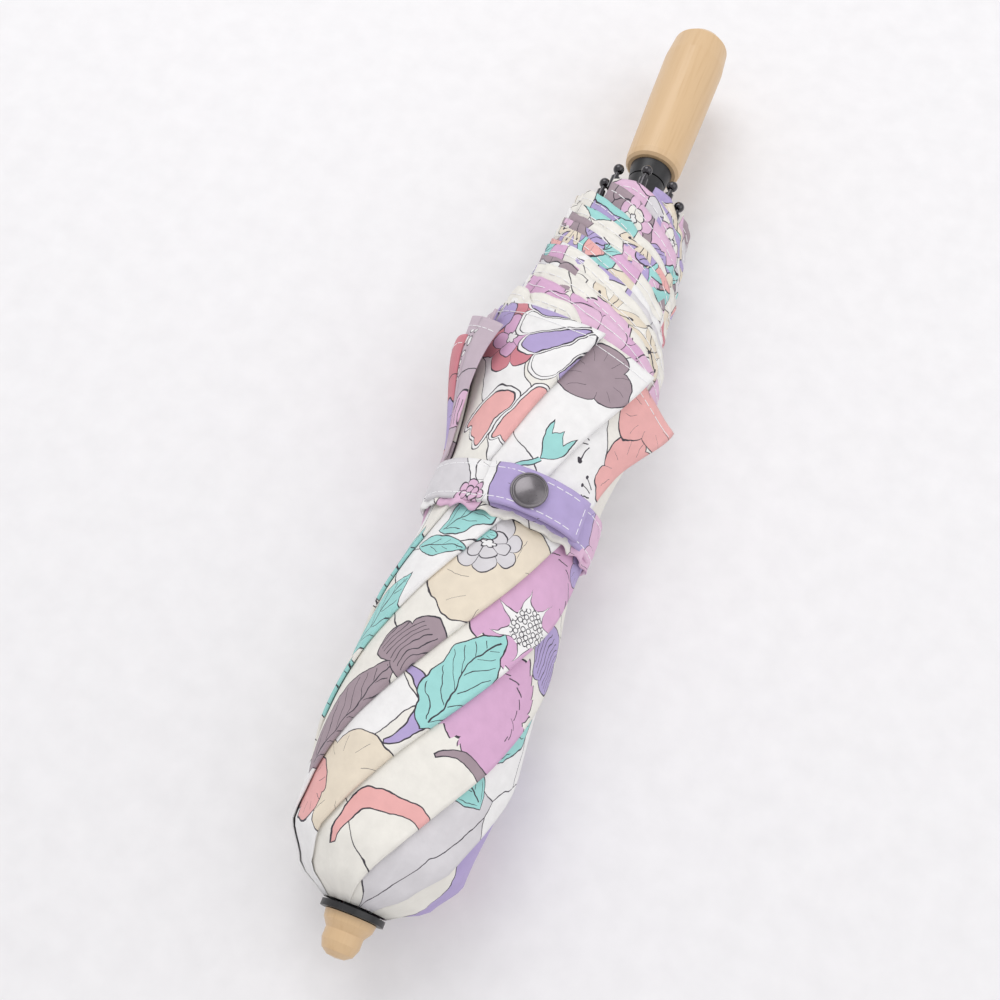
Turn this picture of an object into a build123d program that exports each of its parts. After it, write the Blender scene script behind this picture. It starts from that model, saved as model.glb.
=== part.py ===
"""Folding umbrella with eight three-part ribs, furled, strapped and lying on its side.

The shaft runs along Y with the handle at +Y. Lengths along the shaft are stations,
counted in millimetres from the very top of the umbrella. The origin is at the
middle of the whole umbrella, on the surface that it lies on.
"""
from build123d import *
import math
import os

# Driving dimensions, in millimetres
RIBS = 8
TOTAL_LENGTH = 346.0
AXIS_HEIGHT = 23.8

TOP_TUBE_R = 3.6
MID_TUBE_R = 4.3
LOW_TUBE_R = 5.0
TUBE_WALL = 0.5
TOP_TUBE_SPAN = (6.0, 252.0)
MID_TUBE_SPAN = (38.0, 262.0)
LOW_TUBE_SPAN = (44.0, 300.0)

PIVOT_R = 7.6
NOTCH_AT = 24.0
RIB_JOINT_AT = 124.0
RUNNER_AT = 224.0
TOP_RIB_END = 236.0
MID_RIB_END = 46.0
BALL_AT = 272.0

TOP_RIB_Z = (8.8, 10.4)
MID_RIB_Z = (10.9, 12.3)
OUT_RIB_Z = (13.1, 14.5)
KNEE_Z = 10.7
ELBOW_Z = 12.7
STRETCHER_Z = (6.9, 8.3)
BLADE_HALF = 0.75
EAR_IN = 0.95
EAR_OUT = 1.45
PIN_R = 0.4
EYE_R = 0.5
WIRE_R = 0.35

HUB_R = 8.7
SLOT_FLOOR_R = 6.4
SLOT_HALF_LENGTH = 6.0
GROOVE_FLOOR_R = 7.1
GROOVE_HALF = 0.45
EAR_OVERHANG = 1.3
EAR_LENGTH = 4.0
RUNNER_SPAN = (216.0, 277.0)
RUNNER_SLEEVE_R = 5.9
RUNNER_FLARE_R = 6.6
BALL_R = 1.9
TIP_Z = 13.8

CAVITY_R = 16.2
STRAP_AT = 139.0
STRAP_WIDTH = 14.0
STRAP_THICK = 1.3
STRAP_GAP = 0.3
TAIL_GAP = 2.3
TAIL_X = (-13.0, 20.0)
SNAP_X = 4.5
SNAP_CAP_R = 5.75

HANDLE_SPAN = (283.0, TOTAL_LENGTH)
HANDLE_R = 10.2

# Canopy outline: station, half width, half height
CANOPY = [
    (13.8, 9.2, 9.0),
    (20.0, 20.0, 18.0),
    (30.0, 27.0, 22.5),
    (60.0, 30.0, 23.8),
    (100.0, 29.0, 23.8),
    (126.0, 26.5, 22.0),
    (152.0, 26.5, 22.0),
    (188.0, 33.0, 23.8),
    (205.0, 30.5, 23.8),
    (225.0, 25.0, 21.5),
    (262.0, 19.5, 18.4),
]
STRAP_HALF = (26.5, 22.0)


def section(station):
    """A sketch plane across the shaft, whose X is the row's X and whose Y is up."""
    return Plane(origin=(0, station, 0), x_dir=(1, 0, 0), z_dir=(0, -1, 0))


def rod(radius, start, end, x=0.0, z=0.0):
    """A round bar along the shaft."""
    disc = section(start) * Pos(x, z) * Circle(radius)
    return extrude(disc, start - end)


def tube(radius, wall, span):
    """A hollow tube along the shaft."""
    return rod(radius, *span) - rod(radius - wall, *span)


def block(x, y, z):
    """A box between two limits on each axis."""
    size = (x[1] - x[0], y[1] - y[0], z[1] - z[0])
    middle = (sum(x) / 2, sum(y) / 2, sum(z) / 2)
    return Pos(*middle) * Box(*size)


def cross_pin(radius, half, station, z):
    """A pin across the shaft, along X."""
    return Pos(0, station, z) * Rot(0, 90, 0) * Cylinder(radius, 2 * half)


def turned(points):
    """A solid turned about the shaft from (radius, station) points."""
    face = make_face(Polyline(*[(r, s, 0) for r, s in points], close=True))
    return revolve(face, Axis.Y, 360)


def ring_wire(station):
    """The wire ring that strings the pivots of one hub together."""
    path = Plane(origin=(0, station, 0), x_dir=(1, 0, 0), z_dir=(0, 1, 0))
    return path * Torus(PIVOT_R, WIRE_R)


def hub(body, station):
    """Cuts the rib slots and the wire groove into a turned hub."""
    ends = (station - SLOT_HALF_LENGTH, station + SLOT_HALF_LENGTH)
    slot = block((-EAR_IN, EAR_IN), ends, (SLOT_FLOOR_R, 2 * HUB_R))
    for k in range(RIBS):
        body -= slot.rotate(Axis.Y, k * 360 / RIBS)
    groove = rod(2 * HUB_R, station - GROOVE_HALF, station + GROOVE_HALF)
    return body - (groove - rod(GROOVE_FLOOR_R, *ends))


def ears(station, z, toward, root):
    """Two side plates with a pin through them; root is the block that joins them."""
    low, high = sorted((station - EAR_OVERHANG * toward, station + EAR_LENGTH * toward))
    made = block((EAR_IN, EAR_OUT), (low, high), z)
    made += block((-EAR_OUT, -EAR_IN), (low, high), z)
    far = sorted((station + 2 * EAR_OVERHANG * toward, station + EAR_LENGTH * toward))
    return made + block((-EAR_OUT, EAR_OUT), far, root)


def blade(start, end, z, eye_at, eye_z):
    """A flat rib with a round eye at one end."""
    made = block((-BLADE_HALF, BLADE_HALF), sorted((start, end)), z)
    made += cross_pin(1.0, BLADE_HALF, eye_at, eye_z)
    return made - cross_pin(EYE_R, 2, eye_at, eye_z)


def top_rib():
    """The rib from the crown notch to the knee, with the fork of its stretcher."""
    made = block((-1.2, 1.2), (NOTCH_AT + 6, TOP_RIB_END - 2 * EAR_OVERHANG), TOP_RIB_Z)
    made += block(
        (-BLADE_HALF, BLADE_HALF), (NOTCH_AT, NOTCH_AT + 7), (PIVOT_R - 0.7, TOP_RIB_Z[1] - 0.4)
    )
    made += cross_pin(1.0, BLADE_HALF, NOTCH_AT, PIVOT_R)
    made -= cross_pin(EYE_R, 2, NOTCH_AT, PIVOT_R)
    for side in (-1, 1):
        x = sorted((side * EAR_IN, side * EAR_OUT))
        made += block(x, (RIB_JOINT_AT - 1.6, RIB_JOINT_AT + 1.6), (6.8, TOP_RIB_Z[1]))
    made += cross_pin(PIN_R, EAR_OUT, RIB_JOINT_AT, PIVOT_R)
    made += ears(TOP_RIB_END, (TOP_RIB_Z[0], 11.9), -1, TOP_RIB_Z)
    return made + cross_pin(PIN_R, EAR_OUT, TOP_RIB_END, KNEE_Z)


def stretcher():
    """The strut between the runner and the middle of the top rib."""
    made = blade(RIB_JOINT_AT, RUNNER_AT, STRETCHER_Z, RIB_JOINT_AT, PIVOT_R)
    made += cross_pin(1.0, BLADE_HALF, RUNNER_AT, PIVOT_R)
    return made - cross_pin(EYE_R, 2, RUNNER_AT, PIVOT_R)


def middle_rib():
    """The rib that folds back towards the crown, with the fork of the outer rib."""
    made = blade(MID_RIB_END + 3, TOP_RIB_END, MID_RIB_Z, TOP_RIB_END, KNEE_Z)
    made += ears(MID_RIB_END, (MID_RIB_Z[0], 13.9), 1, MID_RIB_Z)
    return made + cross_pin(PIN_R, EAR_OUT, MID_RIB_END, ELBOW_Z)


def outer_rib():
    """The rib that folds down again and ends in a round wire for the tip."""
    made = blade(MID_RIB_END, BALL_AT - 12, OUT_RIB_Z, MID_RIB_END, ELBOW_Z)
    return made + rod(0.65, BALL_AT - 12.5, BALL_AT - 5, 0, TIP_Z)


def rib_tip():
    """The metal tip: a tapered sleeve on the rib's wire, with a ball end."""
    sleeve = rod(1.5, BALL_AT - 9, BALL_AT - 3.6, 0, TIP_Z)
    neck = rod(0.8, BALL_AT - 3.7, BALL_AT - 0.5, 0, TIP_Z)
    ball = Pos(0, BALL_AT, TIP_Z) * Sphere(BALL_R)
    return sleeve + neck + ball - rod(0.72, BALL_AT - 10, BALL_AT - 4.8, 0, TIP_Z)


def ellipse_ring(inner, outer, half):
    """A band across the bundle, between two offsets from its cinched outline."""
    plane = section(STRAP_AT - STRAP_WIDTH / 2)
    big = plane * Ellipse(half[0] + outer, half[1] + outer)
    small = plane * Ellipse(half[0] + inner, half[1] + inner)
    return extrude(big - small, -STRAP_WIDTH)


def canopy():
    """The furled cloth: one closed shell around the frame, open at the handle end."""
    rings = []
    for station, width, height in CANOPY:
        rings.append(section(station) * Ellipse(width, height))
    start, end = CANOPY[0][0], CANOPY[-1][0]
    body = loft(rings, ruled=True)
    cavity = turned([
        (0, start + 2.6),
        (8.0, start + 2.6),
        (11.5, start + 8),
        (CAVITY_R, 34),
        (CAVITY_R, end + 5),
        (0, end + 5),
    ])
    return body - cavity - rod(TOP_TUBE_R + 0.3, start - 1, start + 5)


def strap_tail():
    """The free end of the strap, lying over the wrap with room for the snap."""
    inner = STRAP_GAP + STRAP_THICK + TAIL_GAP
    band = ellipse_ring(inner, inner + 1.1, STRAP_HALF)
    window = block(TAIL_X, (0, TOTAL_LENGTH), (0, 60))
    shank_hole = Pos(SNAP_X, STRAP_AT, 25) * Cylinder(2.1, 20)
    return (band & window) - shank_hole


def band_top(offset):
    """Height above the shaft of the cinched outline plus an offset, over the snap."""
    w, h = (half + offset for half in STRAP_HALF)
    return h * math.sqrt(1 - (SNAP_X / w) ** 2)


def snap_socket():
    """The snap's domed cap, its shank and the ring that grips the stud."""
    top = band_top(STRAP_GAP + STRAP_THICK + TAIL_GAP + 1.1) + 0.15
    under = band_top(STRAP_GAP + STRAP_THICK + TAIL_GAP) - 0.15
    cap = Pos(0, 0, top + 0.5) * Cylinder(SNAP_CAP_R, 1.0)
    cap = fillet(cap.edges().group_by(Axis.Z)[-1], 0.6)
    shank = Pos(0, 0, (top + under) / 2) * Cylinder(1.95, top - under + 0.2)
    socket = Pos(0, 0, under - 0.75) * Cylinder(4.4, 1.5)
    socket -= Pos(0, 0, under - 1.1) * Cylinder(2.4, 1.4)
    return Pos(SNAP_X, STRAP_AT, 0) * (cap + shank + socket)


def snap_stud():
    """The lower half of the snap, seated in the strap's wrap."""
    seat = band_top(STRAP_GAP + STRAP_THICK)
    base = Pos(0, 0, seat + 0.1) * Cylinder(4.2, 0.5)
    post = Pos(0, 0, seat + 0.8) * Cylinder(1.8, 1.2)
    return Pos(SNAP_X, STRAP_AT, 0) * (base + post)


def strap_wrap():
    """The part of the strap that goes all round the bundle."""
    made = ellipse_ring(STRAP_GAP, STRAP_GAP + STRAP_THICK, STRAP_HALF)
    seat = Pos(SNAP_X, STRAP_AT, band_top(STRAP_GAP + STRAP_THICK) + 0.3)
    return made - seat * Cylinder(4.25, 1.0)


def notch():
    """The crown notch, with eight slots for the ribs."""
    body = turned([
        (TOP_TUBE_R + 0.02, NOTCH_AT - 5.6),
        (HUB_R - 1.3, NOTCH_AT - 5.6),
        (HUB_R, NOTCH_AT - 3.6),
        (HUB_R, NOTCH_AT + 3.6),
        (6.0, NOTCH_AT + 4.4),
        (6.0, NOTCH_AT + 9),
        (TOP_TUBE_R + 0.02, NOTCH_AT + 9),
    ])
    return hub(body, NOTCH_AT)


def runner():
    """The sliding runner: a slotted hub and a flared sleeve that ends by the handle."""
    body = turned([
        (LOW_TUBE_R + 0.1, RUNNER_SPAN[0]),
        (RUNNER_SLEEVE_R, RUNNER_SPAN[0]),
        (RUNNER_SLEEVE_R, RUNNER_AT - 4.4),
        (HUB_R, RUNNER_AT - 3.6),
        (HUB_R, RUNNER_AT + 4.4),
        (RUNNER_SLEEVE_R + 0.2, RUNNER_AT + 5.4),
        (RUNNER_SLEEVE_R, RUNNER_SPAN[1] - 15),
        (RUNNER_FLARE_R, RUNNER_SPAN[1]),
        (LOW_TUBE_R + 0.1, RUNNER_SPAN[1]),
    ])
    return hub(body, RUNNER_AT)


def ferrule():
    """The top cap, pressed on the end of the shaft over the cloth's centre."""
    body = turned([
        (0, 0.0),
        (2.6, 0.3),
        (4.6, 1.6),
        (5.6, 4.0),
        (5.6, 7.0),
        (7.2, 9.2),
        (7.6, 11.4),
        (0, 11.4),
    ])
    return body - rod(TOP_TUBE_R + 0.02, TOP_TUBE_SPAN[0] - 0.1, 20)


def crown_disc():
    """The thin disc between the top cap and the cloth."""
    return tube(9.4, 9.4 - TOP_TUBE_R - 0.05, (11.6, 13.4))


def handle():
    """The turned wooden handle."""
    start, end = HANDLE_SPAN
    body = turned([
        (0, start),
        (HANDLE_R - 1.4, start),
        (HANDLE_R - 0.4, start + 0.9),
        (HANDLE_R, start + 3.0),
        (HANDLE_R + 0.6, start + 30),
        (HANDLE_R + 0.9, end - 12),
        (HANDLE_R, end - 3),
        (HANDLE_R - 2.6, end),
        (0, end),
    ])
    return body - rod(LOW_TUBE_R + 0.02, start - 1, LOW_TUBE_SPAN[1] + 0.1)


def collar():
    """The dark flared collar between the runner and the handle."""
    return turned([
        (LOW_TUBE_R + 0.02, 277.5),
        (6.7, 277.5),
        (7.6, 282.8),
        (LOW_TUBE_R + 0.02, 282.8),
    ])


def catch_hole():
    """The slot in the top tube that the catch comes through."""
    return block((-0.9, 0.9), (61.5, 70.5), (1.5, 9))


def catch():
    """The sprung catch that holds the runner up when the umbrella is open."""
    nose = make_face(Polyline((0, 62, 3.3), (0, 70, 3.3), (0, 70, 3.75), (0, 62, 3.35), close=True))
    wedge = Pos(-0.7, 0, 0) * extrude(nose, 1.4, dir=(1, 0, 0))
    return wedge + block((-0.7, 0.7), (62, 70), (1.9, 3.4))


def catch_spring():
    """The bent leaf under the catch."""
    return block((-0.7, 0.7), (55, 76), (-1.2, -0.7)) + block((-0.7, 0.7), (55, 55.6), (-1.2, 1.4))


def placed(shape):
    """Moves a shape from the shaft's own place to the part's frame."""
    return Pos(0, -TOTAL_LENGTH / 2, AXIS_HEIGHT) * shape


def save(name, shape):
    """Writes one node."""
    export_step(placed(shape), f"parts/{name}.step")


def main():
    """Builds every node of the umbrella."""
    os.makedirs("parts", exist_ok=True)
    single = {
        "top_tube": tube(TOP_TUBE_R, TUBE_WALL, TOP_TUBE_SPAN) - catch_hole(),
        "middle_tube": tube(MID_TUBE_R, TUBE_WALL, MID_TUBE_SPAN),
        "lower_tube": tube(LOW_TUBE_R, TUBE_WALL, LOW_TUBE_SPAN),
        "crown_notch": notch(),
        "notch_wire": ring_wire(NOTCH_AT),
        "runner": runner(),
        "runner_wire": ring_wire(RUNNER_AT),
        "ferrule": ferrule(),
        "crown_disc": crown_disc(),
        "handle": handle(),
        "handle_collar": collar(),
        "catch": catch(),
        "catch_spring": catch_spring(),
        "canopy": canopy(),
        "strap_wrap": strap_wrap(),
        "strap_tail": strap_tail(),
        "snap_socket": snap_socket(),
        "snap_stud": snap_stud(),
    }
    for name, shape in single.items():
        save(name, shape)
    spoke = {
        "top_rib": top_rib(),
        "stretcher": stretcher(),
        "middle_rib": middle_rib(),
        "outer_rib": outer_rib(),
        "rib_tip": rib_tip(),
    }
    for name, shape in spoke.items():
        for k in range(RIBS):
            save(f"{name}_{k + 1}", shape.rotate(Axis.Y, k * 360 / RIBS))


main()
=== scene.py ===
"""Looks of the furled folding umbrella: rolled cloth, strap, snap, stitching and finishes."""
from __future__ import annotations

import logging
import math
from dataclasses import dataclass, field
from enum import Enum
from typing import Callable, Iterable, Sequence

import bmesh
import bpy
from mathutils import Matrix, Vector, noise

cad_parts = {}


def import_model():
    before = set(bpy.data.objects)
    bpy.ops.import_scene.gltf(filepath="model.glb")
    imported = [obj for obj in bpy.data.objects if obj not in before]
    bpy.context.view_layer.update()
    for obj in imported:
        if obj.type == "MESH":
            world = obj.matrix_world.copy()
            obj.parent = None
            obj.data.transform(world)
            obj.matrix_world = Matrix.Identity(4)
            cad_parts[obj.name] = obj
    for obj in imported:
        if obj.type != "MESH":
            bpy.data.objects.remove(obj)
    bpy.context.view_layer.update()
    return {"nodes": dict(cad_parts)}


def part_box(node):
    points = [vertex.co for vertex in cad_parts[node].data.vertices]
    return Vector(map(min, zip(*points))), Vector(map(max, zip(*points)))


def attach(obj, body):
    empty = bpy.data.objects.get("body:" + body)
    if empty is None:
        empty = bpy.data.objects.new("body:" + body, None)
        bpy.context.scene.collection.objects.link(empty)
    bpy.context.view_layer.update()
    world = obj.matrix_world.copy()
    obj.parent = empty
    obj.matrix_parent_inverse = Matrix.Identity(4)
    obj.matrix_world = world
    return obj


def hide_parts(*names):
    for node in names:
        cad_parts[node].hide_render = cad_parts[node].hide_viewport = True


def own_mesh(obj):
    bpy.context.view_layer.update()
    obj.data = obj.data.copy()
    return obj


LOG = logging.getLogger("umbrella")
MM = 0.001
TOTAL_LENGTH = 346.0
AXIS_HEIGHT = 23.8
CUT_PER_DEGREE = 0.471
# Station where the cloth leaves the crown, and the power that spaces its rows.
CLOTH_START = 14.2
LEAF_SPACING = 0.97
# Degrees that shift the print on a pleat's inner half.
INNER_TURN = 60
# The share that marks the lap in Strap.rise, and the lap's mean azimuth.
LAP_SHARE = 0.5
LAP_AZIMUTH = 12
STEM = "canopy_stem"
STRAP_END = "strap_end"
Surface = Callable[[float, float], tuple[Vector, tuple[float, float]]]


def linear(hex_colour: str) -> tuple[float, float, float, float]:
    """Turns an sRGB hex colour into linear values.

    Args:
        hex_colour: Six hex digits.

    Returns:
        Red, green, blue and alpha, linear.
    """
    values = (int(hex_colour[i:i + 2], 16) / 255 for i in (0, 2, 4))
    r, g, b = (v / 12.92 if v <= 0.04045 else ((v + 0.055) / 1.055) ** 2.4 for v in values)
    return r, g, b, 1.0


def mix(a: float, b: float, t: float) -> float:
    """Goes from a to b as t goes from 0 to 1."""
    return a + (b - a) * t


def ease(t: float) -> float:
    """A smooth step from 0 to 1."""
    t = min(max(t, 0.0), 1.0)
    return t * t * (3 - 2 * t)


class Ink(Enum):
    """Colours of the printed cloth."""

    CREAM = "EFECE4"
    WHITE = "F3F2F1"
    BEIGE = "E9DDC9"
    GREY = "DAD7DA"
    ORCHID = "DBAED0"
    ROSE = "E2BCD6"
    LAVENDER = "B5A5D3"
    AQUA = "A0DAD6"
    CORAL = "EEB2AF"
    RED = "D3858F"
    TAUPE = "A5939B"
    MAUVE = "C9B8C3"
    LINE = "3F3A43"


# ---------------------------------------------------------------- shader fields


def add_node(tree: bpy.types.NodeTree, kind: str, **values: object) -> bpy.types.Node:
    """Adds one shader node.

    Args:
        tree: The material's node tree.
        kind: The node's type name.
        values: Properties of the node, set by name.

    Returns:
        The new node.
    """
    node = tree.nodes.new(kind)
    for key, value in values.items():
        setattr(node, key, value)
    return node


class Field:
    """A number that varies over a surface, with arithmetic on it."""

    def __init__(self, tree: bpy.types.NodeTree, socket: object) -> None:
        """Keeps the tree and the socket that gives the number."""
        self.tree = tree
        self.socket = socket

    def calc(self, operation: str, *others: object) -> "Field":
        """Applies one math operation.

        Args:
            operation: The Math node's operation.
            others: Further inputs, as fields or numbers.

        Returns:
            The result.
        """
        node = add_node(self.tree, "ShaderNodeMath", operation=operation)
        for slot, value in enumerate((self, *others)):
            if isinstance(value, Field):
                self.tree.links.new(value.socket, node.inputs[slot])
            else:
                node.inputs[slot].default_value = value
        return Field(self.tree, node.outputs[0])

    def __add__(self, other: object) -> "Field":
        """Sum."""
        return self.calc("ADD", other)

    def __sub__(self, other: object) -> "Field":
        """Difference."""
        return self.calc("SUBTRACT", other)

    def __mul__(self, other: object) -> "Field":
        """Product."""
        return self.calc("MULTIPLY", other)

    def __truediv__(self, other: object) -> "Field":
        """Quotient."""
        return self.calc("DIVIDE", other)

    def __lt__(self, other: object) -> "Field":
        """1 where this is less than the other."""
        return self.calc("LESS_THAN", other)

    def __gt__(self, other: object) -> "Field":
        """1 where this is more than the other."""
        return self.calc("GREATER_THAN", other)

    def __or__(self, other: object) -> "Field":
        """The larger of two masks."""
        return self.calc("MAXIMUM", other)

    def __abs__(self) -> "Field":
        """Size without sign."""
        return self.calc("ABSOLUTE")

    def inverse(self) -> "Field":
        """1 minus the mask."""
        return self.calc("MULTIPLY_ADD", -1.0, 1.0)


class Canvas:
    """The printed picture of one cloth, built up in layers from the back."""

    def __init__(self, tree: bpy.types.NodeTree, repeat: tuple[float, float]) -> None:
        """Starts from the cut's own UV map, in millimetres, with a hand-drawn wobble."""
        self.tree = tree
        self.repeat = repeat
        cut = add_node(tree, "ShaderNodeUVMap", uv_map="Cut")
        self.flat = self.vector("SCALE", cut.outputs[0], scale=1000.0)
        self.place = self.flat
        for scale, size in ((0.07, 3.0), (0.3, 0.45)):
            wobble = add_node(tree, "ShaderNodeTexNoise", noise_dimensions="2D")
            wobble.inputs["Scale"].default_value = scale
            wobble.inputs["Detail"].default_value = 1.0
            tree.links.new(self.flat, wobble.inputs["Vector"])
            centred = self.vector("SUBTRACT", wobble.outputs["Color"], (0.5, 0.5, 0.5))
            shift = self.vector("SCALE", centred, scale=size * 2)
            self.place = self.vector("ADD", self.place, shift)
        self.colour: object = None
        self.line: Field | None = None

    def vector(
        self, operation: str, a: object, b: object = None, scale: float | None = None
    ) -> object:
        """Applies one vector operation and returns its output socket."""
        node = add_node(self.tree, "ShaderNodeVectorMath", operation=operation)
        self.tree.links.new(a, node.inputs[0])
        if isinstance(b, (tuple, list)):
            node.inputs[1].default_value = b
        elif b is not None:
            self.tree.links.new(b, node.inputs[1])
        if scale is not None:
            node.inputs["Scale"].default_value = scale
        return node.outputs[0]

    def blend(self, mask: Field, top: object) -> None:
        """Lays a colour, or a colour socket, over the picture where a mask is 1."""
        node = add_node(self.tree, "ShaderNodeMix", data_type="RGBA")
        self.tree.links.new(mask.socket, node.inputs[0])
        self.tree.links.new(self.colour, node.inputs[6])
        if isinstance(top, Ink):
            node.inputs[7].default_value = linear(top.value)
        else:
            self.tree.links.new(top, node.inputs[7])
        self.colour = node.outputs[2]

    def lay(self, mask: Field, top: object, line: Field) -> None:
        """Lays one motif: its fill hides older lines, and its own line stays."""
        self.blend(mask, top)
        self.line = line | (self.line * mask.inverse())

    def cells(self, size: float, inks: Sequence[Ink]) -> None:
        """Fills the ground with large outlined petals in a few colours."""
        scaled = self.vector("SCALE", self.place, scale=1.0 / size)
        cell = add_node(self.tree, "ShaderNodeTexVoronoi", voronoi_dimensions="2D")
        edge = add_node(
            self.tree, "ShaderNodeTexVoronoi", voronoi_dimensions="2D", feature="DISTANCE_TO_EDGE"
        )
        split = add_node(self.tree, "ShaderNodeSeparateColor")
        ramp = add_node(self.tree, "ShaderNodeValToRGB")
        ramp.color_ramp.interpolation = "CONSTANT"
        for i, ink in enumerate(inks):
            stops = ramp.color_ramp.elements
            stop = stops[i] if i < 2 else stops.new(i / len(inks))
            stop.position = i / len(inks)
            stop.color = linear(ink.value)
        for node in (cell, edge):
            node.inputs["Scale"].default_value = 1.0
            self.tree.links.new(scaled, node.inputs["Vector"])
        self.tree.links.new(cell.outputs["Color"], split.inputs[0])
        self.tree.links.new(split.outputs[0], ramp.inputs[0])
        self.colour = ramp.outputs[0]
        self.line = Field(self.tree, edge.outputs["Distance"]) * size < 0.2

    def local(self, motif: "Motif") -> tuple[Field, Field, Field, Field]:
        """Coordinates about a motif's centre, in millimetres: x, y, radius and angle."""
        centre = (motif.azimuth * CUT_PER_DEGREE, motif.station, 0.0)
        moved = self.vector("SUBTRACT", self.place, centre)
        wrapped = add_node(self.tree, "ShaderNodeVectorMath", operation="WRAP")
        self.tree.links.new(moved, wrapped.inputs[0])
        wrapped.inputs[1].default_value = (self.repeat[0] / 2, self.repeat[1] / 2, 1.0)
        wrapped.inputs[2].default_value = (-self.repeat[0] / 2, -self.repeat[1] / 2, -1.0)
        turned = add_node(self.tree, "ShaderNodeVectorRotate", rotation_type="Z_AXIS")
        self.tree.links.new(wrapped.outputs[0], turned.inputs["Vector"])
        turned.inputs["Angle"].default_value = -math.radians(motif.turn)
        split = add_node(self.tree, "ShaderNodeSeparateXYZ")
        self.tree.links.new(turned.outputs[0], split.inputs[0])
        x, y = Field(self.tree, split.outputs[0]), Field(self.tree, split.outputs[1])
        radius = (x * x + y * y).calc("SQRT")
        return x, y, radius, y.calc("ARCTAN2", x)

    def finish(self) -> object:
        """Draws the lines over the fills and returns the picture's colour socket."""
        self.blend(self.line, Ink.LINE)
        return self.colour


class Kind(Enum):
    """The drawn motifs of the print."""

    PEONY = "peony"
    LILY = "lily"
    LEAF = "leaf"
    TULIP = "tulip"
    SEEDS = "seeds"
    BELL = "bell"
    SHELL = "shell"
    ARC = "arc"
    RUFFLED = "ruffled"
    LOBES = "lobes"
    STAMENS = "stamens"
    HATCHED = "hatched"
    DOTS = "dots"


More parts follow.
